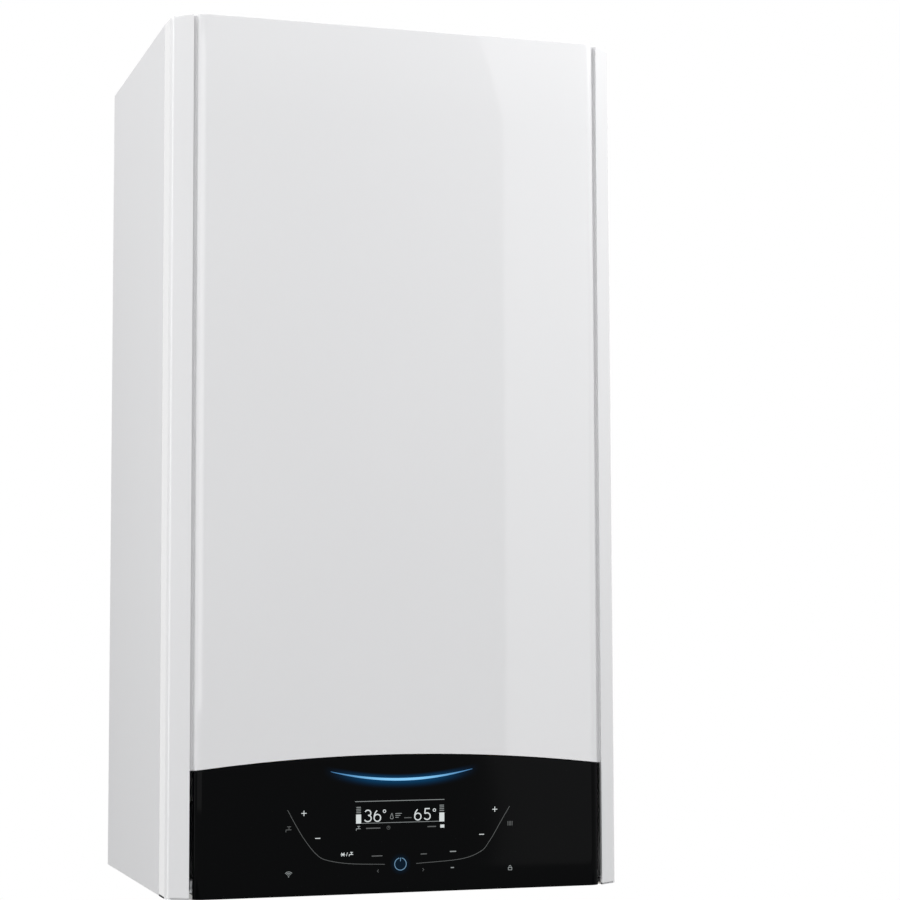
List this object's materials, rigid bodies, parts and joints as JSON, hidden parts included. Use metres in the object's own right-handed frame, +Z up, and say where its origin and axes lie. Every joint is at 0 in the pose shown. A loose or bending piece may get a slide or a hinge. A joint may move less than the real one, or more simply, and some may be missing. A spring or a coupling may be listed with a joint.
{
  "type": "combi boiler",
  "caption": "Wall-hung condensing combi boiler with a pull-off white front cover between canted pillars and a tilting black touch fascia under an arch.",
  "frame": {"origin": "middle of the casing's wall face, on the back plate", "axes": "+X to the right seen from the front, +Y into the wall, +Z up along the height"},
  "size_m": [0.4, 0.319, 0.7915],
  "materials": {
    "white_enamel": "satin white enamel on steel sheet",
    "galvanised": "zinc-coated sheet with a faint spangle",
    "zinc": "bright zinc plate",
    "rubber": "matt black",
    "black_plastic": "fine-grained moulded plastic",
    "aluminium": "die-cast, matt",
    "stainless": "bright stainless sheet",
    "ceramic": "glazed ceramic",
    "grey_plastic": "moulded grey plastic",
    "copper": "drawn copper tube",
    "white_plastic": "moulded white plastic",
    "brass": "hot-pressed brass",
    "red_paint": "red powder coat",
    "red_plastic": "red moulded plastic",
    "blue_plastic": "blue moulded plastic",
    "black_glass": "gloss black touch fascia",
    "blue_light": "lit light guide",
    "display": "dark display window",
    "circuit": "green circuit board"
  },
  "bodies": {
    "chassis": {"back_plate": "galvanised", "left_side_panel": "white_enamel", "right_side_panel": "white_enamel", "top_panel": "white_enamel", "bottom_tray": "galvanised", "cover_seal": "rubber", "cover_stud_left": "zinc", "cover_screw_left": "zinc", "cover_stud_right": "zinc", "cover_screw_right": "zinc", "hinge_bracket_left": "galvanised", "hinge_pin_left": "zinc", "hinge_bracket_right": "galvanised", "hinge_pin_right": "zinc", "flue_collar": "black_plastic", "flue_duct": "aluminium", "test_plug": "red_plastic", "mounting_frame": "galvanised", "heat_exchanger_shell": "stainless", "heat_exchanger_coil": "stainless", "burner_door": "aluminium", "burner_tube": "stainless", "ignition_electrode": "ceramic", "fan_housing": "aluminium", "fan_motor": "black_plastic", "venturi_mixer": "aluminium", "intake_silencer": "grey_plastic", "gas_air_duct": "aluminium", "gas_valve": "aluminium", "gas_inlet_pipe": "copper", "gas_feed_pipe": "copper", "ignition_transformer": "black_plastic", "ignition_lead": "rubber", "condensate_trap": "white_plastic", "condensate_hose": "rubber", "flow_block": "brass", "return_block": "brass", "diverter_motor": "black_plastic", "safety_valve": "brass", "plate_exchanger": "stainless", "pump_housing": "grey_plastic", "pump_motor": "black_plastic", "flow_pipe": "copper", "return_pipe": "copper", "expansion_vessel": "red_paint", "vessel_pipe": "stainless", "cable_gland": "black_plastic"},
    "front_cover": {"front_cover": "white_enamel"},
    "control_panel": {"fascia_glass": "black_glass", "light_guide": "blue_light", "display_module": "display", "control_box": "black_plastic", "main_board": "circuit", "control_box_lid": "grey_plastic"},
    "fan_wheel": {"fan_impeller": "black_plastic"},
    "pump_wheel": {"pump_impeller": "white_plastic"},
    "turbine": {"flow_turbine": "white_plastic"},
    "diverter_stem": {"diverter_spindle": "brass"},
    "safety_knob": {"safety_valve_knob": "red_plastic"},
    "filling_tap": {"filling_tap_key": "blue_plastic"}
  },
  "joints": [
    {"name": "front_cover_pull", "type": "slide", "parent": "chassis", "child": "front_cover", "axis": [0, -1, 0], "range_m": [0, 0.35]},
    {"name": "control_panel_tilt", "type": "hinge", "parent": "chassis", "child": "control_panel", "pos_m": [0, -0.303, -0.362], "axis": [1, 0, 0], "range_deg": [0, 90]},
    {"name": "fan_spin", "type": "hinge", "parent": "chassis", "child": "fan_wheel", "pos_m": [0.12, -0.2, 0.285], "axis": [0, 1, 0], "continuous": true},
    {"name": "pump_spin", "type": "hinge", "parent": "chassis", "child": "pump_wheel", "pos_m": [0.134, -0.15, -0.19], "axis": [0, 1, 0], "continuous": true},
    {"name": "flow_turbine_spin", "type": "hinge", "parent": "chassis", "child": "turbine", "pos_m": [0.067, -0.13, -0.31], "axis": [0, 0, 1], "continuous": true},
    {"name": "diverter_travel", "type": "slide", "parent": "chassis", "child": "diverter_stem", "axis": [0, 1, 0], "range_m": [0, 0.008]},
    {"name": "safety_knob_turn", "type": "hinge", "parent": "chassis", "child": "safety_knob", "pos_m": [-0.067, -0.2, -0.3], "axis": [0, 1, 0], "range_deg": [0, 90]},
    {"name": "filling_tap_turn", "type": "hinge", "parent": "chassis", "child": "filling_tap", "pos_m": [0.1, -0.195, -0.37], "axis": [0, 0, 1], "range_deg": [0, 90]}
  ]
}
